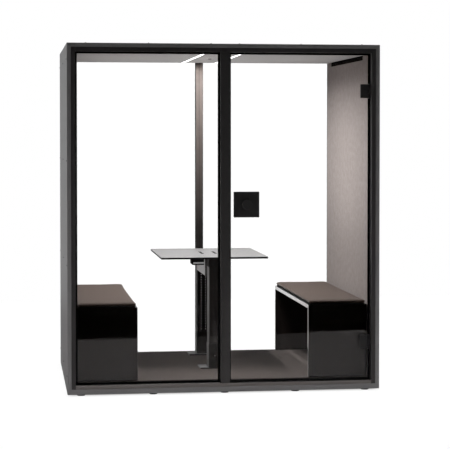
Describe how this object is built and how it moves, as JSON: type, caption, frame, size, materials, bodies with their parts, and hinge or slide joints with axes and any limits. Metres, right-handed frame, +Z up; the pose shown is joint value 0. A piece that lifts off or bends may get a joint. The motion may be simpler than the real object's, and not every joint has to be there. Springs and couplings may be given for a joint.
{
  "type": "acoustic office pod",
  "caption": "Glazed acoustic office pod with a hinged glass door, facing benches, a table with cable slots, felt-lined walls, light strips in the ceiling and an extract fan.",
  "frame": {"origin": "on the ground, under the middle of the pod", "axes": "+Z up, -Y towards the front with the door, +X to the right seen from the front"},
  "size_m": [2, 1.455, 2.22],
  "materials": {
    "shell": "grey lacquer, satin",
    "frame": "dark grey powder coat",
    "rubber": "black, dull",
    "glass": "clear",
    "felt": "warm grey felt",
    "ceiling": "grey, matt",
    "carpet": "brown-grey loop pile",
    "hardware": "black, satin",
    "light": "white opal diffuser",
    "black_plastic": "black, satin",
    "laminate": "light grey compact laminate with a black core",
    "bench_board": "dark faced board with light grey edges",
    "upholstery": "brown-grey woven",
    "table_metal": "grey powder coat",
    "steel": "ground"
  },
  "bodies": {
    "pod": {"base_cassette": "shell", "carpet": "carpet", "left_wall_skin": "shell", "left_wall_lining": "felt", "left_vent_grille": "black_plastic", "right_wall_skin": "shell", "right_wall_lining": "felt", "right_vent_grille": "black_plastic", "roof_panel": "shell", "ceiling_panel": "ceiling", "left_light_diffuser": "light", "right_light_diffuser": "light", "ceiling_sensor": "black_plastic", "fan_housing": "black_plastic", "front_stile_left": "frame", "front_stile_right": "frame", "front_sill": "frame", "front_head": "frame", "front_mullion": "frame", "rear_stile_left": "frame", "rear_stile_right": "frame", "rear_sill": "frame", "rear_head": "frame", "rear_post": "frame", "front_fixed_glass": "glass", "front_glass_gasket": "rubber", "rear_glass_left": "glass", "rear_gasket_left": "rubber", "rear_glass_right": "glass", "rear_gasket_right": "rubber", "door_seal": "rubber", "upper_hinge_leaf": "hardware", "upper_hinge_pin": "steel", "lower_hinge_leaf": "hardware", "lower_hinge_pin": "steel", "left_seat_board": "bench_board", "left_bench_front_panel": "bench_board", "left_bench_rear_panel": "bench_board", "left_seat_pad": "upholstery", "right_seat_board": "bench_board", "right_bench_front_panel": "bench_board", "right_bench_rear_panel": "bench_board", "right_seat_pad": "upholstery", "table_top": "laminate", "table_front_column": "table_metal", "table_rear_column": "table_metal", "table_beam": "table_metal", "table_front_base": "table_metal", "table_rear_base": "table_metal", "power_box": "black_plastic", "cable_chain": "black_plastic"},
    "door": {"door_glass": "glass", "upper_hinge_clamp": "hardware", "lower_hinge_clamp": "hardware", "outer_knob_plate": "hardware", "inner_knob_plate": "hardware", "outer_knob": "hardware", "inner_knob": "hardware"},
    "fan": {"fan_rotor": "black_plastic"}
  },
  "joints": [
    {"name": "door_swing", "type": "hinge", "parent": "pod", "child": "door", "pos_m": [0.9367, -0.6775, 1.1245], "axis": [0, 0, 1], "range_deg": [0, 90]},
    {"name": "fan_spin", "type": "hinge", "parent": "pod", "child": "fan", "pos_m": [0, 0.4005, 2.1884], "axis": [0, 0, 1], "continuous": true}
  ]
}
